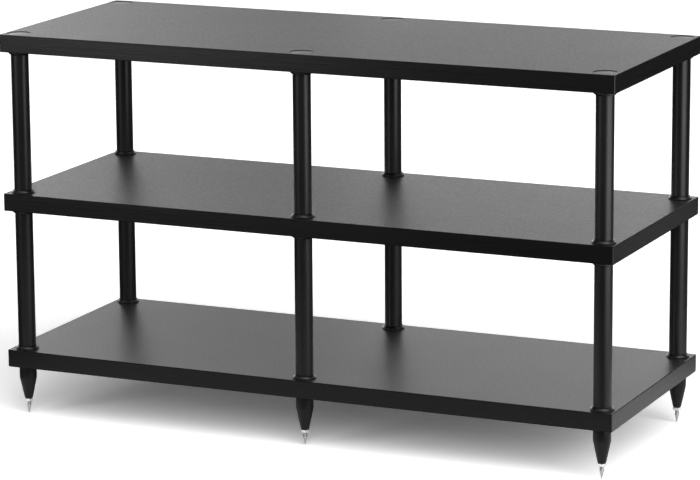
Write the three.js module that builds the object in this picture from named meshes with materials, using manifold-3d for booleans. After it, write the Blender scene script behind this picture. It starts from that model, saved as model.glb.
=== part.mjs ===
// Audio equipment rack: three thick black boards carried by six lines of steel columns, standing on
// conical feet with adjustable spikes.
// Millimetres, +Z up, +X along the boards, the front faces -Y. The origin lies on the floor under the
// middle of the rack.
import * as THREE from 'three';
import { mergeVertices } from 'three/addons/utils/BufferGeometryUtils.js';
import Module from 'manifold-3d';

const wasm = await Module();
wasm.setup();

// Boards
const boardWidth = 1100;
const boardDepth = 423;
const boardThickness = 30;
const boardCornerRadius = 2.5;
const boardArris = 1;
const bayHeight = 243.5;

// Columns: a steel tube with a flange welded on each end and a threaded plug inside it
const columnInset = 25;
const columnDiameter = 30;
const tubeWall = 2;
const flangeProjection = 5;
const flangeThickness = 5;
const flangeChamfer = 3;

// Threads of the studs, screws and spikes
const threadDiameter = 8;
const threadClearance = 0.15;
const threadEngagement = 12;
const threadChamfer = 0.8;
const boardHoleClearance = 0.5;
const boreSpare = 1;

// Fixings of the top board
const headDiameter = 13;
const headHeight = 5;
const headClearance = 1.5;
const socketWidth = 6;
const socketDepth = 3;
const capDiameter = 39;
const capThickness = 2.5;
const capClearance = 0.3;
const capRecess = 0.8;
const capChamfer = 0.4;

// Feet
const footCylinderLength = 21.5;
const footTaperLength = 37.5;
const footTipDiameter = 14.5;
const footTipChamfer = 1.5;

// Lock nuts
const nutAcrossFlats = 13;
const nutThickness = 5;
const nutChamferShare = 0.95;
const nutChamferAngle = THREE.MathUtils.degToRad(30);

// Spikes
const spikeConeLength = 14.5;
const spikeExposedThread = 7.5;
const spikeEngagement = 18;
const spikeTravelIn = 6;
const spikeTipDiameter = 1;

// Gap left between two pieces that touch, and the overrun of every cut
const seatGap = 0.15;
const cutOverrun = 2;

// Sides of the round shapes
const columnSides = 18;
const capSides = 20;
const boreSides = 14;
const nutSides = 12;
const studSides = 10;
const cornerSteps = 3;
const hexSides = 6;

// Heights above the floor
const nutBase = spikeConeLength + spikeExposedThread;
const footBase = nutBase + nutThickness;
const footHeight = footCylinderLength + footTaperLength;
const boardBases = ['bottom', 'middle', 'top'].map(
  (name, level) => footBase + footHeight + level * (boardThickness + bayHeight),
);
const [bottomBase, middleBase, topBase] = boardBases;

// Sizes that follow the ones above
const columnRadius = columnDiameter / 2;
const footRadius = columnRadius;
const threadRadius = threadDiameter / 2;
const boreRadius = threadRadius + threadClearance;
const boardHoleRadius = threadRadius + boardHoleClearance;
const capSeatDepth = capRecess + capThickness + seatGap;
const headPocketDepth = headHeight + seatGap + seatGap;
const headPocketFloor = boardThickness - capSeatDepth - headPocketDepth;

// Finishes
const laminate = new THREE.MeshStandardMaterial({ color: 0x262627, roughness: 0.45, metalness: 0 });
const blackSteel = new THREE.MeshStandardMaterial({ color: 0x161617, roughness: 0.42, metalness: 0.2 });
const blackCap = new THREE.MeshStandardMaterial({ color: 0x202021, roughness: 0.5, metalness: 0 });
const chrome = new THREE.MeshStandardMaterial({ color: 0xdcdee0, roughness: 0.12, metalness: 1 });
const zincSteel = new THREE.MeshStandardMaterial({ color: 0x9a9ca0, roughness: 0.35, metalness: 1 });

// Solid of revolution about Z. The profile is a list of [radius, height] pairs that runs up on the
// outside, and starts and ends on the axis or closes on itself.
function turned(profile, sides) {
  const points = profile.map(([radius, height]) => new THREE.Vector2(radius, height));
  return new THREE.LatheGeometry(points, sides).rotateX(Math.PI / 2);
}

// Prism about Z with flat sides, from the distance across its flats.
function hexPrism(acrossFlats, height) {
  const cornerRadius = acrossFlats / 2 / Math.cos(Math.PI / hexSides);
  const prism = new THREE.CylinderGeometry(cornerRadius, cornerRadius, height, hexSides);
  return prism.rotateX(Math.PI / 2).translate(0, 0, height / 2);
}

// The same body as one closed solid that can be cut.
function toSolid(geometry) {
  const bare = geometry.clone();
  bare.deleteAttribute('normal');
  bare.deleteAttribute('uv');
  const merged = mergeVertices(bare);
  const corners = merged.index.array;
  const kept = [];
  for (let i = 0; i < corners.length; i += 3) {
    const [a, b, c] = corners.slice(i, i + 3);
    if (a !== b && b !== c && c !== a) kept.push(a, b, c);
  }
  return new wasm.Manifold(new wasm.Mesh({
    numProp: 3,
    vertProperties: Float32Array.from(merged.attributes.position.array),
    triVerts: Uint32Array.from(kept),
  }));
}

function toGeometry(solid) {
  const mesh = solid.getMesh();
  const geometry = new THREE.BufferGeometry();
  geometry.setAttribute('position', new THREE.BufferAttribute(mesh.vertProperties, mesh.numProp));
  geometry.setIndex(new THREE.BufferAttribute(mesh.triVerts, 1));
  geometry.computeVertexNormals();
  return geometry;
}

// The six column lines, by row and station.
function columnLines() {
  const rows = { front: -1, rear: 1 };
  const stations = { left: -1, middle: 0, right: 1 };
  const lines = [];
  for (const [row, rowSide] of Object.entries(rows)) {
    for (const [station, stationSide] of Object.entries(stations)) {
      lines.push({
        label: `${row}_${station}`,
        x: stationSide * (boardWidth / 2 - columnInset),
        y: rowSide * (boardDepth / 2 - columnInset),
      });
    }
  }
  return lines;
}

// Board with softened edges, its underside at height 0.
function boardBlank() {
  const halfWidth = boardWidth / 2;
  const halfDepth = boardDepth / 2;
  const reachX = halfWidth - boardCornerRadius;
  const reachY = halfDepth - boardCornerRadius;
  const outline = new THREE.Shape();
  outline.absarc(reachX, reachY, boardCornerRadius, 0, Math.PI / 2);
  outline.absarc(-reachX, reachY, boardCornerRadius, Math.PI / 2, Math.PI);
  outline.absarc(-reachX, -reachY, boardCornerRadius, Math.PI, 1.5 * Math.PI);
  outline.absarc(reachX, -reachY, boardCornerRadius, 1.5 * Math.PI, 2 * Math.PI);
  return new THREE.ExtrudeGeometry(outline, {
    depth: boardThickness - 2 * boardArris,
    curveSegments: cornerSteps,
    bevelEnabled: true,
    bevelThickness: boardArris,
    bevelSize: boardArris,
    bevelOffset: -boardArris,
    bevelSegments: 1,
  }).translate(0, 0, boardArris);
}

// Board with the same hole cut at each column line.
function board(holeProfile, holeSides, lines) {
  let solid = toSolid(boardBlank());
  const cutter = turned(holeProfile, holeSides);
  for (const { x, y } of lines) {
    solid = solid.subtract(toSolid(cutter.clone().translate(x, y, 0)));
  }
  return toGeometry(solid);
}

// Plain clearance hole for a stud, through the whole board.
function studHole() {
  return [
    [0, -cutOverrun],
    [boardHoleRadius, -cutOverrun],
    [boardHoleRadius, boardThickness + cutOverrun],
    [0, boardThickness + cutOverrun],
  ];
}

// Stepped hole of the top board: shank hole, head pocket and the shallow seat of the cap.
function screwHole() {
  const pocketRadius = headDiameter / 2 + headClearance;
  const seatRadius = capDiameter / 2 + capClearance;
  const seatFloor = boardThickness - capSeatDepth;
  return [
    [0, -cutOverrun],
    [boardHoleRadius, -cutOverrun],
    [boardHoleRadius, headPocketFloor],
    [pocketRadius, headPocketFloor],
    [pocketRadius, seatFloor],
    [seatRadius, seatFloor],
    [seatRadius, boardThickness + cutOverrun],
    [0, boardThickness + cutOverrun],
  ];
}

// Column between two boards: outside up, then the plugs and the hollow of the tube down.
function column() {
  const length = bayHeight - seatGap - seatGap;
  const rimRadius = columnRadius + flangeProjection;
  const hollowRadius = columnRadius - tubeWall;
  const plugLength = threadEngagement + boreSpare;
  const lowerEnd = [
    [boreRadius, 0],
    [rimRadius, 0],
    [rimRadius, flangeThickness - flangeChamfer],
    [rimRadius - flangeChamfer, flangeThickness],
    [columnRadius, flangeThickness],
  ];
  const upperEnd = lowerEnd.map(([radius, height]) => [radius, length - height]).reverse();
  const hollow = [
    [boreRadius, length - plugLength],
    [hollowRadius, length - plugLength],
    [hollowRadius, plugLength],
    [boreRadius, plugLength],
    [boreRadius, 0],
  ];
  return turned([...lowerEnd, ...upperEnd, ...hollow], columnSides);
}

// Headless stud that joins two pieces through a board.
function stud() {
  const length = boardThickness + 2 * threadEngagement;
  return turned([
    [0, 0],
    [threadRadius - threadChamfer, 0],
    [threadRadius, threadChamfer],
    [threadRadius, length - threadChamfer],
    [threadRadius - threadChamfer, length],
    [0, length],
  ], studSides);
}

// Cap-head screw with a hexagon socket, hanging from its head, tip at height 0.
function topScrew() {
  const shank = headPocketFloor + seatGap + threadEngagement;
  const top = shank + headHeight;
  const body = toSolid(turned([
    [0, 0],
    [threadRadius - threadChamfer, 0],
    [threadRadius, threadChamfer],
    [threadRadius, shank],
    [headDiameter / 2, shank],
    [headDiameter / 2, top],
    [0, top],
  ], studSides));
  const socket = hexPrism(socketWidth, socketDepth + cutOverrun).translate(0, 0, top - socketDepth);
  return toGeometry(body.subtract(toSolid(socket)));
}

// Flush disc that hides a screw head.
function cap() {
  const radius = capDiameter / 2;
  return turned([
    [0, 0],
    [radius, 0],
    [radius, capThickness - capChamfer],
    [radius - capChamfer, capThickness],
    [0, capThickness],
  ], capSides);
}

// Foot: a short cylinder that tapers down to the nut, bored from both ends.
function foot() {
  const height = footHeight - seatGap - seatGap;
  const tipRadius = footTipDiameter / 2;
  const upperBoreFloor = height - threadEngagement - boreSpare;
  const lowerBoreRoof = spikeEngagement + spikeTravelIn + boreSpare;
  return turned([
    [0, lowerBoreRoof],
    [boreRadius, lowerBoreRoof],
    [boreRadius, 0],
    [tipRadius - footTipChamfer, 0],
    [tipRadius, footTipChamfer],
    [footRadius, footTaperLength - seatGap],
    [footRadius, height],
    [boreRadius, height],
    [boreRadius, upperBoreFloor],
    [0, upperBoreFloor],
  ], columnSides);
}

// Thin hexagon nut with both ends chamfered.
function lockNut() {
  const chamferRadius = nutAcrossFlats / 2 * nutChamferShare;
  const waist = nutThickness / 2;
  const doubleCone = turned([
    [0, 0],
    [chamferRadius, 0],
    [chamferRadius + waist / Math.tan(nutChamferAngle), waist],
    [chamferRadius, nutThickness],
    [0, nutThickness],
  ], nutSides);
  const bore = turned([
    [0, -cutOverrun],
    [boreRadius, -cutOverrun],
    [boreRadius, nutThickness + cutOverrun],
    [0, nutThickness + cutOverrun],
  ], boreSides);
  const blank = toSolid(hexPrism(nutAcrossFlats, nutThickness));
  return toGeometry(blank.intersect(toSolid(doubleCone)).subtract(toSolid(bore)));
}

// Spike: a sharp cone under a threaded shank.
function spike() {
  const top = footBase + spikeEngagement;
  return turned([
    [0, 0],
    [spikeTipDiameter / 2, 0],
    [threadRadius, spikeConeLength],
    [threadRadius, top - threadChamfer],
    [threadRadius - threadChamfer, top],
    [0, top],
  ], boreSides);
}

const rack = new THREE.Group();

// Adds one named piece with its origin at the given place.
function place(name, geometry, material, x, y, z) {
  const mesh = new THREE.Mesh(geometry, material);
  mesh.name = name;
  mesh.position.set(x, y, z);
  rack.add(mesh);
}

const lines = columnLines();
const plainBoard = board(studHole(), boreSides, lines);
place('shelf_bottom', plainBoard, laminate, 0, 0, bottomBase);
place('shelf_middle', plainBoard, laminate, 0, 0, middleBase);
place('shelf_top', board(screwHole(), capSides, lines), laminate, 0, 0, topBase);

const shapes = {
  column: column(),
  stud: stud(),
  screw: topScrew(),
  cap: cap(),
  foot: foot(),
  nut: lockNut(),
  spike: spike(),
};
const columnSeats = { lower: bottomBase, upper: middleBase };
const studSeats = { bottom: bottomBase, middle: middleBase };
for (const { label, x, y } of lines) {
  for (const [tier, base] of Object.entries(columnSeats)) {
    place(`column_${tier}_${label}`, shapes.column, blackSteel, x, y, base + boardThickness + seatGap);
  }
  for (const [level, base] of Object.entries(studSeats)) {
    place(`stud_${level}_${label}`, shapes.stud, zincSteel, x, y, base - threadEngagement);
  }
  place(`top_screw_${label}`, shapes.screw, zincSteel, x, y, topBase - threadEngagement);
  place(`top_cap_${label}`, shapes.cap, blackCap, x, y, topBase + boardThickness - capRecess - capThickness);
  place(`foot_${label}`, shapes.foot, blackSteel, x, y, footBase + seatGap);
  place(`lock_nut_${label}`, shapes.nut, chrome, x, y, nutBase);
  place(`spike_${label}`, shapes.spike, chrome, x, y, 0);
}

export default rack;
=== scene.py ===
"""Dresses the audio equipment rack: laminate boards, steel columns, feet, lock nuts and spikes.

Every piece is built in metres, in the frame of the solids, and rides on the body of the solid it
stands for.
"""
import logging
import math
from collections.abc import Iterable
from dataclasses import dataclass
from enum import Enum, IntEnum

import bmesh
import bpy
from mathutils import Matrix, Vector


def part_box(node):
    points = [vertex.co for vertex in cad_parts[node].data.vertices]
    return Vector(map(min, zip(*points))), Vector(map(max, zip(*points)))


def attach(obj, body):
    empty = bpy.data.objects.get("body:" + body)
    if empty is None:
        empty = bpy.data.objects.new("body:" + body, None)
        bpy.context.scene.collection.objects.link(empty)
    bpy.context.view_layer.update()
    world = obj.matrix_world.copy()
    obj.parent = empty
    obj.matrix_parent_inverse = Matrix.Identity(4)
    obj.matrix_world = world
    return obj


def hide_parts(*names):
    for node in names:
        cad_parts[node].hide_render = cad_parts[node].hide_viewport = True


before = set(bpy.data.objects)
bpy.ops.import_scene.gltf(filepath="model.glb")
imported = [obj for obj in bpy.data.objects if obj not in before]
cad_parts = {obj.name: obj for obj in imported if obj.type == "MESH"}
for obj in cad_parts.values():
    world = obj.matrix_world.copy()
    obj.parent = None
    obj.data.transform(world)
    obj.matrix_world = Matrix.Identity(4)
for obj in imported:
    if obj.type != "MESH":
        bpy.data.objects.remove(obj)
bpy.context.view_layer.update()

LOG = logging.getLogger("rack")
MM = 0.001
ROWS = ("front", "rear")
STATIONS = ("left", "middle", "right")
LABELS = tuple(f"{row}_{station}" for row in ROWS for station in STATIONS)
LEVELS = ("bottom", "middle", "top")
TIERS = ("lower", "upper")

# Directions in a profile or an outline, in degrees
QUARTER_TURN = 90.0
RIGHT, UP, LEFT, DOWN, FULL_TURN = (QUARTER_TURN * k for k in range(5))

# Parts of the noise's range, 0 to 1, that a finish stretches to its own range
WIDE_SPAN = (0.25, 0.75)
NARROW_SPAN = (0.32, 0.68)

# Spans that no direction reaches, for a glow without that bound
NO_FALL = (2.0, 3.0)
NO_SIDE = (-3.0, -2.0)

Point = tuple[float, float]
Span = tuple[float, float]
Profile = list[Point]
Ring = list[bmesh.types.BMVert]
Triple = tuple[float, float, float]


class Slot(str, Enum):
    """Names for the material slots of the pieces built here; no piece is given one."""

    BOARD = "laminate_board"
    STEEL = "black_steel"
    CAP = "black_cap"
    CHROME = "chrome"


class BoardFace(IntEnum):
    """Places of the finishes in a board's list of materials."""

    SHEET = 0
    EDGE = 1
    JOINT = 2


class ColumnFace(IntEnum):
    """Places of the finishes in a column's list of materials."""

    COAT = 0
    GROOVE = 1


def grey(level: float, tint: float = 1.0) -> Triple:
    """A grey as red, green and blue, with its blue multiplied by a tint."""
    return level, level, level * tint


class NodeGraph:
    """A tree of shader nodes, with short calls to add and join them."""

    def __init__(self, tree: bpy.types.NodeTree) -> None:
        """Takes over a tree.

        Args:
            tree: The tree of a material or a world.
        """
        self.tree = tree

    def add(self, kind: str) -> bpy.types.Node:
        """Adds a node of a type and returns it."""
        return self.tree.nodes.new(kind)

    def join(self, source: bpy.types.NodeSocket, target: bpy.types.NodeSocket) -> None:
        """Links an output to an input."""
        self.tree.links.new(source, target)

    def feed(self, source: bpy.types.NodeSocket | float, target: bpy.types.NodeSocket) -> None:
        """Sets an input to a number, or links it to an output.

        Args:
            source: The number or the output.
            target: The input.
        """
        if isinstance(source, float):
            target.default_value = source
        else:
            self.join(source, target)

    def combined(self, kind: str, one: bpy.types.NodeSocket,
                 other: bpy.types.NodeSocket | float) -> bpy.types.NodeSocket:
        """Two values made into one, such as their sum.

        Args:
            kind: What is done with them.
            one: The first value.
            other: The second value, or a number.

        Returns:
            The result.
        """
        node = self.add("ShaderNodeMath")
        node.operation = kind
        self.join(one, node.inputs[0])
        self.feed(other, node.inputs[1])
        return node.outputs[0]

    def ranged(self, value: bpy.types.NodeSocket, low: float, high: float,
               span: Span = WIDE_SPAN, smooth: bool = False) -> bpy.types.NodeSocket:
        """Maps a value from a span to low..high, and holds it at the ends.

        Args:
            value: The input value.
            low: Result at the start of the span.
            high: Result at its end.
            span: Start and end of the input.
            smooth: True for a course that eases in and out.

        Returns:
            The mapped value.
        """
        node = self.add("ShaderNodeMapRange")
        node.interpolation_type = "SMOOTHSTEP" if smooth else "LINEAR"
        node.inputs["From Min"].default_value, node.inputs["From Max"].default_value = span
        node.inputs["To Min"].default_value = low
        node.inputs["To Max"].default_value = high
        self.join(value, node.inputs["Value"])
        return node.outputs["Result"]

    def mixed(self, share: bpy.types.NodeSocket, base: bpy.types.NodeSocket,
              over: bpy.types.NodeSocket) -> bpy.types.NodeSocket:
        """One shader shown over another.

        Args:
            share: Share of the shader on top.
            base: The shader under it.
            over: The shader on top.

        Returns:
            The mixed shader.
        """
        node = self.add("ShaderNodeMixShader")
        self.join(share, node.inputs["Fac"])
        self.join(base, node.inputs[1])
        self.join(over, node.inputs[2])
        return node.outputs[0]


class NodeSheet(NodeGraph):
    """The node tree of one material, with calls for what its finish needs."""

    def __init__(self, name: str) -> None:
        """Starts a material with one principled shader.

        Args:
            name: The material's name.
        """
        self.material = bpy.data.materials.new(name)
        self.material.use_nodes = True
        super().__init__(self.material.node_tree)
        self.shader = self.tree.nodes["Principled BSDF"]
        self.place = self.add("ShaderNodeTexCoord").outputs["Object"]

    def fixed(self, values: dict[str, float]) -> None:
        """Sets the shader's sockets that are the same all over, by their names."""
        for socket, value in values.items():
            self.shader.inputs[socket].default_value = value

    def varied(self, socket: str, value: bpy.types.NodeSocket) -> None:
        """Links one of the shader's sockets to what changes over the surface."""
        self.join(value, self.shader.inputs[socket])

    def noise(self, per_m: Triple, detail: float, roughness: float = 0.5) -> bpy.types.NodeSocket:
        """Noise from 0 to 1 over the object.

        Args:
            per_m: Repeats per metre along X, Y and Z.
            detail: Octaves.
            roughness: Share of the finer octaves.

        Returns:
            The value output.
        """
        mapping = self.add("ShaderNodeMapping")
        mapping.inputs["Scale"].default_value = per_m
        self.join(self.place, mapping.inputs["Vector"])
        node = self.add("ShaderNodeTexNoise")
        node.inputs["Scale"].default_value = 1.0
        node.inputs["Detail"].default_value = detail
        node.inputs["Roughness"].default_value = roughness
        self.join(mapping.outputs["Vector"], node.inputs["Vector"])
        return node.outputs["Fac"]

    def blended(self, value: bpy.types.NodeSocket, dark: Triple,
                light: Triple) -> bpy.types.NodeSocket:
        """A colour between two, by a value from 0 to 1.

        Args:
            value: Share of the light colour.
            dark: Colour at 0.
            light: Colour at 1.

        Returns:
            The colour output.
        """
        node = self.add("ShaderNodeMix")
        node.data_type = "RGBA"
        colour_a, colour_b = (s for s in node.inputs if s.type == "RGBA")
        colour_a.default_value = (*dark, 1.0)
        colour_b.default_value = (*light, 1.0)
        self.join(value, node.inputs["Factor"])
        return next(s for s in node.outputs if s.type == "RGBA")

    def bumped(self, height: bpy.types.NodeSocket, distance: float, strength: float = 1.0) -> None:
        """Gives the shader a bump from a height.

        Args:
            height: Height from 0 to 1.
            distance: Height of 1, in metres.
            strength: Strength of the bump.
        """
        node = self.add("ShaderNodeBump")
        node.inputs["Strength"].default_value = strength
        node.inputs["Distance"].default_value = distance
        self.join(height, node.inputs["Height"])
        self.varied("Normal", node.outputs["Normal"])


@dataclass(frozen=True)
class SheetFinish:
    """Fine-textured black laminate of the boards' broad faces."""

    dark: float = 0.0035
    light: float = 0.013
    tint: float = 1.03
    smooth: float = 0.35
    rough: float = 0.43
    ior: float = 1.5
    grain_per_m: float = 250.0
    grain_height: float = 0.25 * MM
    cloud_per_m: float = 7.0

    def material(self) -> bpy.types.Material:
        """Builds the material.

        Returns:
            The laminate material.
        """
        sheet = NodeSheet("laminate_sheet")
        sheet.fixed({"Metallic": 0.0, "IOR": self.ior})
        grain = sheet.noise((self.grain_per_m,) * 3, detail=3.0)
        cloud = sheet.noise((self.cloud_per_m,) * 3, detail=4.0)
        shade = sheet.ranged(cloud, 0.0, 1.0, NARROW_SPAN)
        sheet.varied("Base Color", sheet.blended(shade, grey(self.dark), grey(self.light, self.tint)))
        sheet.varied("Roughness", sheet.ranged(grain, self.smooth, self.rough, NARROW_SPAN))
        sheet.bumped(grain, self.grain_height)
        return sheet.material


@dataclass(frozen=True)
class EdgeFinish:
    """Edge band of the boards, with faint grain streaks along the edge."""

    dark: float = 0.0005
    light: float = 0.0025
    tint: float = 1.02
    smooth: float = 0.24
    rough: float = 0.36
    ior: float = 1.45
    streak_per_m: Triple = (7.0, 7.0, 620.0)
    streak_height: float = 0.12 * MM

    def material(self) -> bpy.types.Material:
        """Builds the material.

        Returns:
            The edge band material.
        """
        sheet = NodeSheet("grained_edge_band")
        sheet.fixed({"Metallic": 0.0, "IOR": self.ior})
        streaks = sheet.noise(self.streak_per_m, detail=5.0, roughness=0.62)
        shade = sheet.ranged(streaks, 0.0, 1.0, NARROW_SPAN)
        sheet.varied("Base Color", sheet.blended(shade, grey(self.dark), grey(self.light, self.tint)))
        sheet.varied("Roughness", sheet.ranged(streaks, self.rough, self.smooth))
        sheet.bumped(streaks, self.streak_height)
        return sheet.material


@dataclass(frozen=True)
class JointAndGrooveShadeFinish:
    """Dull dark joint line, where an edge band meets a broad face or a tube meets its flange; in the
    tube's groove it is also painted shade.
    """

    dark: float = 0.001
    light: float = 0.003
    gloss: float = 0.12
    roughness: float = 0.6
    grain_per_m: float = 400.0

    def material(self) -> bpy.types.Material:
        """Builds the material.

        Returns:
            The material of the joint line and of the shade painted into the grooves.
        """
        sheet = NodeSheet("dull_joint_line_and_groove_shade")
        sheet.fixed({"Metallic": 0.0, "Roughness": self.roughness, "Specular IOR Level": self.gloss})
        grain = sheet.noise((self.grain_per_m,) * 3, detail=2.0)
        sheet.varied("Base Color", sheet.blended(grain, grey(self.dark), grey(self.light)))
        return sheet.material


@dataclass(frozen=True)
class PowderFinish:
    """Finely pebbled black coat: satin on the columns, duller on the feet, moulded on the discs."""

    name: str = "satin_powder_coat"
    dark: float = 0.0012
    light: float = 0.0028
    smooth: float = 0.32
    rough: float = 0.38
    ior: float = 1.5
    cloud_per_m: Triple = (24.0, 24.0, 9.0)
    peel_per_m: float = 1500.0
    peel_height: float = 0.04 * MM
    peel_strength: float = 0.22

    def material(self) -> bpy.types.Material:
        """Builds the material.

        Returns:
            The coat's material.
        """
        sheet = NodeSheet(self.name)
        sheet.fixed({"Metallic": 0.0, "IOR": self.ior})
        peel = sheet.noise((self.peel_per_m,) * 3, detail=2.0)
        cloud = sheet.noise(self.cloud_per_m, detail=3.0)
        sheet.varied("Base Color", sheet.blended(cloud, grey(self.dark), grey(self.light)))
        sheet.varied("Roughness", sheet.ranged(cloud, self.smooth, self.rough))
        sheet.bumped(peel, self.peel_height, self.peel_strength)
        return sheet.material


@dataclass(frozen=True)
class PlatedFinish:
    """Plated steel of the nuts, spikes and hidden fasteners, with faint turning marks."""

    name: str
    dark: float
    light: float
    smooth: float
    rough: float
    turning_per_m: float = 5200.0
    sweep_per_m: float = 60.0
    turning_height: float = 0.01 * MM
    turning_strength: float = 0.08

    def material(self) -> bpy.types.Material:
        """Builds the material.

        Returns:
            The plated material.
        """
        sheet = NodeSheet(self.name)
        sheet.fixed({"Metallic": 1.0})
        rings = sheet.noise((self.sweep_per_m, self.sweep_per_m, self.turning_per_m), detail=2.0)
        sheet.varied("Base Color", sheet.blended(rings, grey(self.dark), grey(self.light)))
        sheet.varied("Roughness", sheet.ranged(rings, self.smooth, self.rough))
        sheet.bumped(rings, self.turning_height, self.turning_strength)
        return sheet.material


def arc(centre: Point, radius: float, start: float, end: float, steps: int) -> Profile:
    """Points on a round stretch.

    Args:
        centre: Centre of the arc.
        radius: Its radius.
        start: First angle in degrees.
        end: Last angle in degrees.
        steps: Number of steps between them.

    Returns:
        The points, both ends included.
    """
    angles = (math.radians(start + (end - start) * k / steps) for k in range(steps + 1))
    return [(centre[0] + radius * math.cos(a), centre[1] + radius * math.sin(a)) for a in angles]


def rounded_rectangle(half_x: float, half_y: float, radius: float, steps: int) -> Profile:
    """Outline of a rectangle with round corners, anticlockwise from the right side.

    Args:
        half_x: Half of its width.
        half_y: Half of its depth.
        radius: Corner radius.
        steps: Steps of each corner.

    Returns:
        The outline's points.
    """
    reach_x, reach_y = half_x - radius, half_y - radius
    points: Profile = []
    for turn, (side_x, side_y) in enumerate(((1, 1), (-1, 1), (-1, -1), (1, -1))):
        start = QUARTER_TURN * turn
        centre = (side_x * reach_x, side_y * reach_y)
        points += arc(centre, radius, start, start + QUARTER_TURN, steps)
    return points


class Shell:
    """A mesh under construction, made of rings of vertices in the rack's frame."""

    def __init__(self, name: str) -> None:
        """Starts an empty mesh.

        Args:
            name: Name of the piece to be.
        """
        self.name = name
        self.mesh = bmesh.new()

    def ring(self, points: Iterable[Point], height: float) -> Ring:
        """Adds a closed ring of vertices at one height."""
        return [self.mesh.verts.new((x, y, height)) for x, y in points]

    def loop(self, centre: Point, points: Iterable[Triple]) -> Ring:
        """Adds a closed ring whose radius and height change along it.

        Args:
            centre: Place of the axis.
            points: Angle in radians, radius and height of each vertex.

        Returns:
            The ring.
        """
        x, y = centre
        return [self.mesh.verts.new((x + radius * math.cos(angle), y + radius * math.sin(angle),
                                     height)) for angle, radius, height in points]

    def circle(self, centre: Point, radius: float, height: float, sides: int) -> Ring:
        """Adds a level ring, or one vertex where the radius is zero.

        Args:
            centre: Place of the axis.
            radius: Radius of the ring.
            height: Its height.
            sides: Number of its vertices.

        Returns:
            The ring.
        """
        if radius <= 0.0:
            return [self.mesh.verts.new((*centre, height))]
        return self.ring(arc(centre, radius, RIGHT, FULL_TURN, sides)[:-1], height)

    def band(self, lower: Ring, upper: Ring, slot: int = 0) -> None:
        """Joins two rings by faces; a ring of one vertex closes to a point.

        Args:
            lower: First ring.
            upper: Second ring.
            slot: Material slot of the faces.
        """
        count = max(len(lower), len(upper))
        for k in range(count):
            follow = (k + 1) % count
            corners = [lower[k % len(lower)], lower[follow % len(lower)],
                       upper[follow % len(upper)], upper[k % len(upper)]]
            unique = list(dict.fromkeys(corners))
            if len(unique) > 2:
                self.mesh.faces.new(unique).material_index = slot

    def sheet(self, outline: Ring, holes: list[Ring]) -> None:
        """Fills a flat outline, leaving its holes open.

        Args:
            outline: The outer ring.
            holes: Rings of the holes.
        """
        edges = []
        for ring in (outline, *holes):
            for pair in zip(ring, ring[1:] + ring[:1]):
                edges.append(self.mesh.edges.get(pair) or self.mesh.edges.new(pair))
        bmesh.ops.triangle_fill(self.mesh, edges=edges, use_beauty=True)

    def lathe(self, centre: Point, profile: Profile, sides: int) -> None:
        """Adds a surface of revolution about a vertical axis.

        Args:
            centre: Place of the axis.
            profile: Radius and height of each ring.
            sides: Number of sides.
        """
        rings = [self.circle(centre, radius, height, sides) for radius, height in profile]
        for lower, upper in zip(rings, rings[1:]):
            self.band(lower, upper)

    def finish(self, materials: list[bpy.types.Material], crease: float) -> bpy.types.Object:
        """Turns the mesh into an object.

        Args:
            materials: One material for each slot.
            crease: Angle in degrees over which an edge stays sharp.

        Returns:
            The new object, linked to the scene.
        """
        bmesh.ops.recalc_face_normals(self.mesh, faces=self.mesh.faces)
        data = bpy.data.meshes.new(self.name)
        self.mesh.to_mesh(data)
        self.mesh.free()
        for material in materials:
            data.materials.append(material)
        data.shade_smooth()
        data.set_sharp_from_angle(angle=math.radians(crease))
        piece = bpy.data.objects.new(self.name, data)
        bpy.context.scene.collection.objects.link(piece)
        return piece


@dataclass(frozen=True)
class Seat:
    """Where a solid stands: its axis, its lowest and highest point and its half sizes."""

    x: float
    y: float
    low: float
    high: float
    half_x: float
    half_y: float

    @classmethod
    def of(cls, node: str) -> "Seat":
        """Reads the seat of a solid.

        Args:
            node: Name of the solid.

        Returns:
            Its seat.
        """
        low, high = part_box(node)
        return cls((low[0] + high[0]) / 2, (low[1] + high[1]) / 2, low[2], high[2],
                   (high[0] - low[0]) / 2, (high[1] - low[1]) / 2)


def settle(piece: bpy.types.Object, node: str, body: str) -> None:
    """Hands a piece over to the solid that it stands for.

    Args:
        piece: The visible piece.
        node: The solid.
        body: The body it rides on.
    """
    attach(piece, body)
    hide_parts(node)
    LOG.info("%s stands for %s on %s, %d faces", piece.name, node, body, len(piece.data.polygons))


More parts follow.
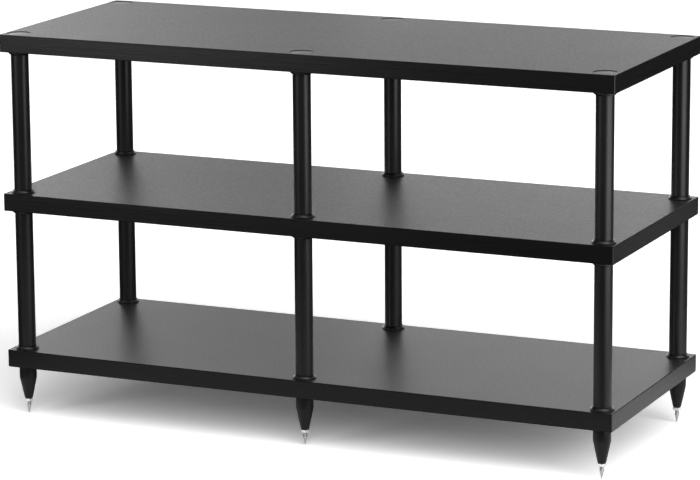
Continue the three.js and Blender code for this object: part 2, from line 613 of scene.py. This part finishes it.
@dataclass
class Boards:
    """The three boards: broad laminate faces, banded edges and the holes of the fixings."""

    sheet: bpy.types.Material
    edge: bpy.types.Material
    joint: bpy.types.Material
    corner_radius: float = 2.5 * MM
    corner_steps: int = 6
    arris: float = 1.0 * MM
    arris_steps: int = 4
    hold: float = 0.3 * MM
    hole_radius: float = 4.5 * MM
    pocket_radius: float = 8.0 * MM
    pocket_depth: float = 5.3 * MM
    seat_radius: float = 19.8 * MM
    seat_depth: float = 3.45 * MM
    rim_chamfer: float = 0.15 * MM
    hole_sides: int = 72
    crease: float = 30.0

    def build(self) -> None:
        """Builds and settles all three boards."""
        for level in LEVELS:
            self.board(level)

    def board(self, level: str) -> None:
        """Builds one board.

        Args:
            level: Its level, from the node's name.
        """
        node = f"shelf_{level}"
        seat = Seat.of(node)
        shell = Shell(f"laminate_board_{level}")
        rings = self.edge_rings(shell, seat)
        last = len(rings) - 2
        # At either end, one flat band comes before those of the rounded arris
        for k, (lower, upper) in enumerate(zip(rings, rings[1:])):
            rounded = 1 <= min(k, last - k) <= self.arris_steps
            shell.band(lower, upper, BoardFace.JOINT if rounded else BoardFace.EDGE)
        tops, bottoms = [], []
        for label in LABELS:
            line = Seat.of(f"top_cap_{label}")
            top, bottom = self.hole(shell, seat, (line.x, line.y), level == "top")
            tops.append(top)
            bottoms.append(bottom)
        shell.sheet(rings[-1], tops)
        shell.sheet(rings[0], bottoms)
        finishes = {BoardFace.SHEET: self.sheet, BoardFace.EDGE: self.edge,
                    BoardFace.JOINT: self.joint}
        piece = shell.finish([finishes[face] for face in BoardFace], self.crease)
        settle(piece, node, "rack")

    def edge_rings(self, shell: Shell, seat: Seat) -> list[Ring]:
        """Rings of the banded edge, from the underside up, with both arrises rounded.

        One more ring beside each end of an arris holds the flat faces flat in the shading.

        Args:
            shell: The mesh.
            seat: The board's seat.

        Returns:
            The rings.
        """
        arris, steps = self.arris, self.arris_steps
        lower = arc((arris, seat.low + arris), arris, DOWN, LEFT, steps)
        upper = arc((arris, seat.high - arris), arris, LEFT, UP, steps)
        flat = arris + self.hold
        path = [(flat, seat.low), *lower, (0.0, seat.low + flat), (0.0, seat.high - flat), *upper,
                (flat, seat.high)]
        rings = []
        for inset, height in path:
            outline = rounded_rectangle(seat.half_x - inset, seat.half_y - inset,
                                        self.corner_radius - inset, self.corner_steps)
            rings.append(shell.ring(outline, height))
        return rings

    def hole(self, shell: Shell, seat: Seat, centre: Point, stepped: bool) -> tuple[Ring, Ring]:
        """Walls of one hole through the board.

        Args:
            shell: The mesh.
            seat: The board's seat.
            centre: Axis of the hole.
            stepped: True for a screw pocket with the seat of a cover disc.

        Returns:
            The hole's ring in the top face and its ring in the underside.
        """
        steps = [(self.hole_radius, seat.high)]
        if stepped:
            floor = seat.high - self.seat_depth
            pocket = floor - self.pocket_depth
            steps = [(self.seat_radius + self.rim_chamfer, seat.high),
                     (self.seat_radius, seat.high - self.rim_chamfer), (self.seat_radius, floor),
                     (self.pocket_radius, floor), (self.pocket_radius, pocket),
                     (self.hole_radius, pocket)]
        steps.append((self.hole_radius, seat.low))
        rings = [shell.circle(centre, radius, height, self.hole_sides) for radius, height in steps]
        for upper, lower in zip(rings, rings[1:]):
            shell.band(upper, lower, BoardFace.EDGE)
        return rings[0], rings[-1]


@dataclass
class Columns:
    """The twelve steel columns: tube, rounded end flanges and a fine joint groove at each, with shade
    painted into it.
    """

    coat: bpy.types.Material
    joint: bpy.types.Material
    tube_radius: float = 15.0 * MM
    flange_thickness: float = 5.0 * MM
    flange_slope: float = 3.0 * MM
    slope_angle: float = 45.0
    corner_round: float = 0.9 * MM
    corner_steps: int = 3
    foot_round: float = 0.4 * MM
    foot_steps: int = 2
    groove_radius: float = 14.7 * MM
    groove_height: float = 0.8 * MM
    bore_radius: float = 4.15 * MM
    hollow_radius: float = 13.0 * MM
    plug_length: float = 13.0 * MM
    sides: int = 72
    crease: float = 40.0

    def build(self) -> None:
        """Builds and settles the columns of both tiers."""
        for tier in TIERS:
            for label in LABELS:
                node = f"column_{tier}_{label}"
                seat = Seat.of(node)
                shell = Shell(f"steel_column_{tier}_{label}")
                self.shape(shell, seat)
                piece = shell.finish([self.coat, self.joint], self.crease)
                settle(piece, node, "rack")

    def shape(self, shell: Shell, seat: Seat) -> None:
        """Adds the rings of one column, with the joint's finish on its two grooves as painted shade.

        Args:
            shell: The mesh.
            seat: The column's seat.
        """
        profile = self.profile(seat)
        rings = [shell.circle((seat.x, seat.y), radius, height, self.sides)
                 for radius, height in profile]
        for k, lower in enumerate(rings):
            follow = (k + 1) % len(rings)
            # The groove gets the dull joint finish, which paints shade into the recess
            grooved = self.groove_radius in (profile[k][0], profile[follow][0])
            shell.band(lower, rings[follow], ColumnFace.GROOVE if grooved else ColumnFace.COAT)

    def profile(self, seat: Seat) -> Profile:
        """Closed profile of a column: outside up, then down through its hollow.

        Args:
            seat: The column's seat.

        Returns:
            Radius and height of each ring.
        """
        rim = seat.half_x
        thick, slope, foot = self.flange_thickness, self.flange_slope, self.foot_round
        soft, tilt, steps = self.corner_round, self.slope_angle, self.corner_steps
        turn = soft * math.tan(math.radians(tilt / 2))
        groove = thick + self.groove_height
        end: Profile = [(self.bore_radius, 0.0)]
        end += arc((rim - foot, foot), foot, DOWN, FULL_TURN, self.foot_steps)
        end += arc((rim - soft, thick - slope - turn), soft, RIGHT, tilt, steps)
        end += arc((rim - slope - turn, thick - soft), soft, tilt, UP, steps)
        end += [(self.tube_radius, thick), (self.groove_radius, thick),
                (self.groove_radius, groove), (self.tube_radius, groove)]
        outside = [(radius, seat.low + height) for radius, height in end]
        outside += [(radius, seat.high - height) for radius, height in reversed(end)]
        roof, floor = seat.high - self.plug_length, seat.low + self.plug_length
        inside = [(self.bore_radius, roof), (self.hollow_radius, roof),
                  (self.hollow_radius, floor), (self.bore_radius, floor)]
        return outside + inside


@dataclass
class CoverDiscs:
    """The six discs that hide the top screws, all but flush with the board."""

    finish: bpy.types.Material
    edge_round: float = 0.25 * MM
    edge_steps: int = 4
    recess: float = 0.12 * MM
    sides: int = 72
    crease: float = 40.0

    def build(self) -> None:
        """Builds and settles the discs."""
        for label in LABELS:
            node = f"top_cap_{label}"
            seat = Seat.of(node)
            radius, soft = seat.half_x, self.edge_round
            top = seat.high - self.recess
            profile = [(0.0, seat.low), (radius, seat.low)]
            profile += arc((radius - soft, top - soft), soft, RIGHT, UP, self.edge_steps)
            profile.append((0.0, top))
            shell = Shell(f"cover_disc_{label}")
            shell.lathe((seat.x, seat.y), profile, self.sides)
            settle(shell.finish([self.finish], self.crease), node, "rack")


@dataclass
class Feet:
    """The six conical feet."""

    coat: bpy.types.Material
    taper_length: float = 37.35 * MM
    tip_radius: float = 7.25 * MM
    tip_round: float = 1.5 * MM
    tip_end_angle: float = 350.0
    tip_steps: int = 5
    shoulder: float = 1.5 * MM
    shoulder_inset: float = 0.25
    top_round: float = 0.4 * MM
    top_steps: int = 2
    bore_radius: float = 4.15 * MM
    upper_bore: float = 13.0 * MM
    lower_bore: float = 25.0 * MM
    sides: int = 72
    crease: float = 40.0

    def build(self) -> None:
        """Builds and settles the feet."""
        for label in LABELS:
            node = f"foot_{label}"
            seat = Seat.of(node)
            shell = Shell(f"cone_foot_{label}")
            shell.lathe((seat.x, seat.y), self.profile(seat), self.sides)
            settle(shell.finish([self.coat], self.crease), node, "rack")

    def profile(self, seat: Seat) -> Profile:
        """Profile of a foot, from the roof of its lower bore round to the floor of its upper one.

        Args:
            seat: The foot's seat.

        Returns:
            Radius and height of each ring.
        """
        rim, bore, soft = seat.half_x, self.bore_radius, self.top_round
        roof, floor = seat.low + self.lower_bore, seat.high - self.upper_bore
        start = seat.low + self.taper_length
        inset = (rim - self.tip_radius) / self.taper_length * self.shoulder
        tip = (self.tip_radius - self.tip_round, seat.low + self.tip_round)
        profile = [(0.0, roof), (bore, roof), (bore, seat.low)]
        profile += arc(tip, self.tip_round, DOWN, self.tip_end_angle, self.tip_steps)
        # The taper meets the cylinder over a shoulder that eases from one into the other
        profile += [(rim - inset, start - self.shoulder),
                    (rim - inset * self.shoulder_inset, start), (rim, start + self.shoulder)]
        profile += arc((rim - soft, seat.high - soft), soft, RIGHT, UP, self.top_steps)
        profile += [(bore, seat.high), (bore, floor), (0.0, floor)]
        return profile


@dataclass
class LockNuts:
    """The six thin hexagon nuts, chamfered so that each face ends in an arc."""

    plating: bpy.types.Material
    across_flats: float = 13.0 * MM
    corners: int = 6
    edge_steps: int = 16
    bore_radius: float = 4.15 * MM
    bore_chamfer: float = 0.5 * MM
    chamfer_share: float = 0.95
    chamfer_angle: float = 30.0
    turns: tuple[float, ...] = (12.0, 3.0, 48.0, 31.0, 22.0, 5.0)
    crease: float = 20.0

    def build(self) -> None:
        """Builds and settles the nuts, each turned its own way."""
        for label, turn in zip(LABELS, self.turns):
            node = f"lock_nut_{label}"
            seat = Seat.of(node)
            shell = Shell(f"hex_lock_nut_{label}")
            self.shape(shell, seat, turn)
            settle(shell.finish([self.plating], self.crease), node, node)

    def shape(self, shell: Shell, seat: Seat, turn: float) -> None:
        """Adds the rings of one nut.

        Args:
            shell: The mesh.
            seat: The nut's seat.
            turn: Angle of its corners in degrees.
        """
        sides = self.corners * self.edge_steps
        corner_turn = FULL_TURN / self.corners
        flat = self.across_flats / 2
        face = flat * self.chamfer_share
        inner = self.bore_radius + self.bore_chamfer
        chamfer_slope = math.tan(math.radians(self.chamfer_angle))
        angles = [FULL_TURN * k / sides for k in range(sides)]
        reach = [flat / math.cos(math.radians(angle % corner_turn - corner_turn / 2))
                 for angle in angles]
        drops = [(radius - face) * chamfer_slope for radius in reach]
        around = [math.radians(angle + turn) for angle in angles]
        lower_half = (([self.bore_radius] * sides, [self.bore_chamfer] * sides),
                      ([inner] * sides, [0.0] * sides), ([face] * sides, [0.0] * sides),
                      (reach, drops))
        centre = (seat.x, seat.y)
        rings = [shell.loop(centre, zip(around, radii, (seat.low + rise for rise in rises)))
                 for radii, rises in lower_half]
        rings += [shell.loop(centre, zip(around, radii, (seat.high - rise for rise in rises)))
                  for radii, rises in reversed(lower_half)]
        for lower, upper in zip(rings, rings[1:] + rings[:1]):
            shell.band(lower, upper)


@dataclass
class Spikes:
    """The six levelling spikes: a sharp cone under a shank with a real helical thread."""

    plating: bpy.types.Material
    cone_length: float = 14.5 * MM
    tip_radius: float = 0.5 * MM
    pitch: float = 1.25 * MM
    thread_depth: float = 0.65 * MM
    groove_level: float = 1.25
    groove_slope: float = 1.5
    run_out: float = 1.0 * MM
    rows_per_pitch: int = 8
    sides: int = 32
    crease: float = 50.0

    def build(self) -> None:
        """Builds and settles the spikes."""
        for label in LABELS:
            node = f"spike_{label}"
            seat = Seat.of(node)
            shell = Shell(f"levelling_spike_{label}")
            self.shape(shell, seat)
            settle(shell.finish([self.plating], self.crease), node, node)

    def shape(self, shell: Shell, seat: Seat) -> None:
        """Adds the rings of one spike, from its tip up.

        Args:
            shell: The mesh.
            seat: The spike's seat.
        """
        radius = seat.half_x
        centre = (seat.x, seat.y)
        neck = seat.low + self.cone_length
        rings = [shell.circle(centre, 0.0, seat.low, self.sides),
                 shell.circle(centre, self.tip_radius, seat.low, self.sides),
                 shell.circle(centre, radius, neck, self.sides)]
        rows = math.floor((seat.high - neck) / self.pitch * self.rows_per_pitch)
        for row in range(1, rows):
            height = neck + self.pitch * row / self.rows_per_pitch
            end = min(height - neck, seat.high - height) / self.run_out
            depth = self.thread_depth * min(1.0, end)
            rings.append(self.thread_ring(shell, seat, height, depth))
        rings += [shell.circle(centre, radius - self.thread_depth, seat.high, self.sides),
                  shell.circle(centre, 0.0, seat.high, self.sides)]
        for lower, upper in zip(rings, rings[1:]):
            shell.band(lower, upper)

    def thread_ring(self, shell: Shell, seat: Seat, height: float, depth: float) -> Ring:
        """A level cut through the thread, whose groove is a wave with flattened tops and roots.

        Args:
            shell: The mesh.
            seat: The spike's seat.
            height: Height of the cut.
            depth: Depth of the groove there.

        Returns:
            The ring.
        """
        points = []
        for side in range(self.sides):
            share = side / self.sides
            phase = (height / self.pitch - share) % 1.0
            groove = self.groove_level - self.groove_slope * abs(2.0 * phase - 1.0)
            reach = seat.half_x - depth * min(1.0, max(0.0, groove))
            points.append((2.0 * math.pi * share, reach, height))
        return shell.loop((seat.x, seat.y), points)


@dataclass
class HiddenFasteners:
    """The studs and top screws, whose solids stay and get a plated finish."""

    plating: bpy.types.Material

    def build(self) -> None:
        """Gives every stud and screw its material."""
        for name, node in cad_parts.items():
            if name.startswith(("stud_", "top_screw_")):
                if not node.material_slots:
                    node.data.materials.append(self.plating)
                for place in node.material_slots:
                    place.material = self.plating
                LOG.info("%s keeps its solid", name)


@dataclass
class PhotoCamera:
    """The camera at the photograph's viewpoint, found by fitting the rack's measured edges."""

    place: Triple = (2.3576, -5.2628, 1.5812)
    yaw: float = 0.42103
    pitch: float = 0.2167
    roll: float = 0.0067
    focal_px: float = 3480.05
    frame_px: float = 700.0
    sensor_mm: float = 36.0
    far_limit: float = 60.0

    def build(self) -> None:
        """Makes the camera and gives it to the scene."""
        data = bpy.data.cameras.new("photo_camera")
        data.sensor_width = self.sensor_mm
        data.lens = self.focal_px / self.frame_px * self.sensor_mm
        data.clip_end = self.far_limit
        camera = bpy.data.objects.new("photo_camera", data)
        bpy.context.scene.collection.objects.link(camera)
        ahead = Vector((-math.sin(self.yaw) * math.cos(self.pitch),
                        math.cos(self.yaw) * math.cos(self.pitch), -math.sin(self.pitch)))
        level = Vector((math.cos(self.yaw), math.sin(self.yaw), 0.0))
        down = ahead.cross(level)
        right = level * math.cos(self.roll) + down * math.sin(self.roll)
        low = down * math.cos(self.roll) - level * math.sin(self.roll)
        turn = Matrix((right, -low, -ahead)).transposed().to_4x4()
        camera.matrix_world = Matrix.Translation(self.place) @ turn
        bpy.context.scene.camera = camera


@dataclass(frozen=True)
class Lamp:
    """One soft lamp, aimed at a point."""

    name: str
    place: Triple
    aim: Triple
    size: tuple[float, float]
    watts: float

    def build(self) -> None:
        """Makes the lamp."""
        data = bpy.data.lights.new(self.name, "AREA")
        data.shape = "RECTANGLE"
        data.size, data.size_y = self.size
        data.energy = self.watts
        lamp = bpy.data.objects.new(self.name, data)
        lamp.visible_camera = False
        bpy.context.scene.collection.objects.link(lamp)
        lamp.location = self.place
        aim = Vector(self.aim) - Vector(self.place)
        lamp.rotation_mode = "QUATERNION"
        lamp.rotation_quaternion = aim.to_track_quat("-Z", "Y")


@dataclass(frozen=True)
class PaintedLightPool:
    """A pool of light painted on the studio floor, as gloss sees it: a rectangle that fades round its
    rim.
    """

    centre: Point
    half: tuple[float, float]
    fade: float
    level: float

    def patch(self, nodes: NodeSheet, height: float, dark: float) -> bpy.types.NodeSocket:
        """The painted light's level at each place of the floor.

        Args:
            nodes: The floor material's nodes.
            height: Height of the floor.
            dark: Painted level of the floor away from the pool.

        Returns:
            The level.
        """
        away = nodes.place
        for kind, vector in (("SUBTRACT", (*self.centre, height)), ("ABSOLUTE", None),
                             ("SUBTRACT", (*self.half, 0.0)), ("MAXIMUM", (0.0, 0.0, 0.0)),
                             ("LENGTH", None)):
            step = nodes.add("ShaderNodeVectorMath")
            step.operation = kind
            nodes.join(away, step.inputs[0])
            if vector is not None:
                step.inputs[1].default_value = vector
            away = step.outputs["Value" if kind == "LENGTH" else "Vector"]
        return nodes.ranged(away, self.level, dark, (0.0, self.fade))


@dataclass(frozen=True)
class Glow:
    """A bright part of the surround, as gloss sees it, bounded by the direction toward it.

    Each bound is a span of the direction's part along one axis. As the direction turns upward, the
    glow comes on over rise and goes out over fall. It comes on over back as the direction turns to
    the rear, and from the first to the second value of side as it turns right or left.
    """

    level: float
    rise: Span
    fall: Span = NO_FALL
    back: Span = (-0.55, 0.15)
    side: Span = NO_SIDE

    def strength(self, nodes: NodeGraph, toward: bpy.types.Node) -> bpy.types.NodeSocket:
        """The glow's strength in each direction.

        Args:
            nodes: The world's nodes.
            toward: Node that splits the direction into X, Y and Z.

        Returns:
            The strength.
        """
        bounds = (("Z", self.rise), ("Z", self.fall[::-1]), ("Y", self.back), ("X", self.side))
        shares = [nodes.ranged(toward.outputs[axis], 0.0, 1.0, span, smooth=True)
                  for axis, span in bounds]
        strength = nodes.combined("MULTIPLY", shares[0], self.level)
        for share in shares[1:]:
            strength = nodes.combined("MULTIPLY", strength, share)
        return strength


@dataclass
class Studio:
    """White floor and surround, soft lamps, and the dark camera side that black gloss reflects."""

    floor_half: float = 9.0
    floor_drop: float = 0.0002
    floor_seen: float = 1.4
    # Painted dark level of the floor away from the pools, as everything but the camera sees it
    painted_floor_dark: float = 0.03
    floor_crease: float = 30.0
    ambient: float = 0.38
    surround_dark: float = 0.02
    glows: tuple[Glow, ...] = (
        Glow(1.52, (0.17, 0.23), (0.25, 0.36)),
        Glow(5.20, (0.08, 0.14), (0.18, 0.24), side=(-0.46, -0.56)),
        Glow(1.65, (0.08, 0.20), (0.26, 0.44), side=(-0.36, -0.50)),
        Glow(1.85, (0.17, 0.25), (0.30, 0.50), side=(-0.36, -0.24)),
        Glow(2.00, (0.80, 0.92)),
    )
    sun_strength: float = 2.3
    sun_softness: float = 60.0
    sun_from: Triple = (0.8, -0.8, 1.0)
    # Pools of light painted on the floor, as everything but the camera sees it
    painted_light_pools: tuple[PaintedLightPool, ...] = (
        PaintedLightPool((0.0, -0.05), (0.62, 0.28), 0.1, 0.95),
        PaintedLightPool((-0.1, -0.6), (0.56, 0.15), 0.2, 0.45),
        PaintedLightPool((0.85, 0.12), (0.15, 0.2), 0.46, 0.95),
        PaintedLightPool((1.5, 1.6), (0.3, 0.3), 0.6, 0.32),
        PaintedLightPool((-2.6, -3.8), (0.6, 0.4), 1.7, 0.45),
    )
    lamps: tuple[Lamp, ...] = (
        Lamp("right_near", (1.35, -0.3, 0.5), (0.3, -0.2, 0.4), (0.8, 0.4), 2.4),
        Lamp("right_low", (1.35, -0.3, 0.22), (0.3, -0.2, 0.3), (0.8, 0.3), 1.2),
        Lamp("right_front", (1.3, -0.75, 0.4), (0.3, -0.2, 0.4), (0.5, 0.5), 1.4),
        Lamp("left_front", (-2.2, -3.2, 1.2), (0.0, 0.0, 0.4), (1.4, 1.4), 34.0),
        Lamp("front", (0.3, -4.0, 1.3), (0.0, 0.0, 0.4), (1.6, 1.4), 9.0),
        Lamp("back", (0.2, 3.0, 0.85), (0.0, 0.0, 0.4), (3.2, 0.5), 8.0),
    )

    def build(self) -> None:
        """Makes the floor, the world and the lamps."""
        self.floor()
        self.world()
        self.sun()
        for lamp in self.lamps:
            lamp.build()
        bpy.context.scene.view_settings.view_transform = "Standard"

    def sun(self) -> None:
        """A broad soft light from above and in front, even over the whole floor."""
        data = bpy.data.lights.new("broad_top_light", "SUN")
        data.energy = self.sun_strength
        data.angle = math.radians(self.sun_softness)
        lamp = bpy.data.objects.new("broad_top_light", data)
        bpy.context.scene.collection.objects.link(lamp)
        lamp.rotation_mode = "QUATERNION"
        lamp.rotation_quaternion = Vector(self.sun_from).to_track_quat("Z", "Y")

    def floor(self) -> None:
        """The floor: white to the camera; to everything else, pools of light painted on a floor
        painted dark.
        """
        half, height = self.floor_half, -self.floor_drop
        shell = Shell("studio_floor")
        corners = ((-half, -half), (half, -half), (half, half), (-half, half))
        shell.mesh.faces.new(shell.ring(corners, height))
        nodes = NodeSheet("white_floor")
        # The pools of painted light, on a floor painted dark between them
        level, *patches = [pool.patch(nodes, height, self.painted_floor_dark) for pool in self.painted_light_pools]
        for patch in patches:
            level = nodes.combined("MAXIMUM", level, patch)
        unseen = nodes.add("ShaderNodeBsdfDiffuse")
        nodes.join(level, unseen.inputs["Color"])
        seen = nodes.add("ShaderNodeBsdfDiffuse")
        seen.inputs["Color"].default_value = (*grey(self.floor_seen), 1.0)
        rays = nodes.add("ShaderNodeLightPath")
        surface = nodes.mixed(rays.outputs["Is Camera Ray"], unseen.outputs[0], seen.outputs[0])
        nodes.tree.nodes.remove(nodes.shader)
        nodes.join(surface, nodes.tree.nodes["Material Output"].inputs["Surface"])
        sheet = shell.finish([nodes.material], self.floor_crease)
        sheet.data.flip_normals()

    def world(self) -> None:
        """White to the camera; to gloss, glows above and behind, and dark on the camera's side."""
        world = bpy.data.worlds.new("studio_surround")
        world.use_nodes = True
        world.node_tree.nodes.clear()
        nodes = NodeGraph(world.node_tree)
        toward = nodes.add("ShaderNodeSeparateXYZ")
        nodes.join(nodes.add("ShaderNodeTexCoord").outputs["Generated"], toward.inputs[0])
        gloss: bpy.types.NodeSocket | float = self.surround_dark
        for glow in self.glows:
            gloss = nodes.combined("ADD", glow.strength(nodes, toward), gloss)
        surface, mirrored, white = (self.shade(nodes, strength)
                                    for strength in (self.ambient, gloss, 1.0))
        rays = nodes.add("ShaderNodeLightPath")
        for kind, shade in (("Is Glossy Ray", mirrored), ("Is Camera Ray", white),
                            ("Is Transmission Ray", white)):
            surface = nodes.mixed(rays.outputs[kind], surface, shade)
        nodes.join(surface, nodes.add("ShaderNodeOutputWorld").inputs["Surface"])
        bpy.context.scene.world = world

    @staticmethod
    def shade(nodes: NodeGraph, strength: bpy.types.NodeSocket | float) -> bpy.types.NodeSocket:
        """A white surround.

        Args:
            nodes: The world's nodes.
            strength: Its strength, as a number or an output.

        Returns:
            The background shader.
        """
        shade = nodes.add("ShaderNodeBackground")
        shade.inputs["Color"].default_value = (*grey(1.0), 1.0)
        nodes.feed(strength, shade.inputs["Strength"])
        return shade.outputs[0]


def main() -> None:
    """Builds the camera, the rack and its studio."""
    logging.basicConfig(level=logging.INFO, format="%(name)s: %(message)s")
    PhotoCamera().build()
    cover = PowderFinish("moulded_cover", dark=0.032, light=0.040, smooth=0.33, rough=0.37,
                         peel_per_m=900.0)
    dull = PowderFinish("dull_powder_coat", ior=1.33)
    chrome = PlatedFinish("bright_chrome", dark=0.84, light=0.93, smooth=0.08, rough=0.18)
    turned = PlatedFinish("turned_steel", dark=0.42, light=0.55, smooth=0.10, rough=0.22)
    zinc = PlatedFinish("zinc_plate", dark=0.42, light=0.52, smooth=0.28, rough=0.40,
                        turning_per_m=900.0)
    # The joint finish also paints shade into the columns' grooves
    joint = JointAndGrooveShadeFinish().material()
    Boards(SheetFinish().material(), EdgeFinish().material(), joint).build()
    Columns(PowderFinish().material(), joint).build()
    CoverDiscs(cover.material()).build()
    Feet(dull.material()).build()
    LockNuts(chrome.material()).build()
    Spikes(turned.material()).build()
    HiddenFasteners(zinc.material()).build()
    Studio().build()


if __name__ == "__main__":
    main()
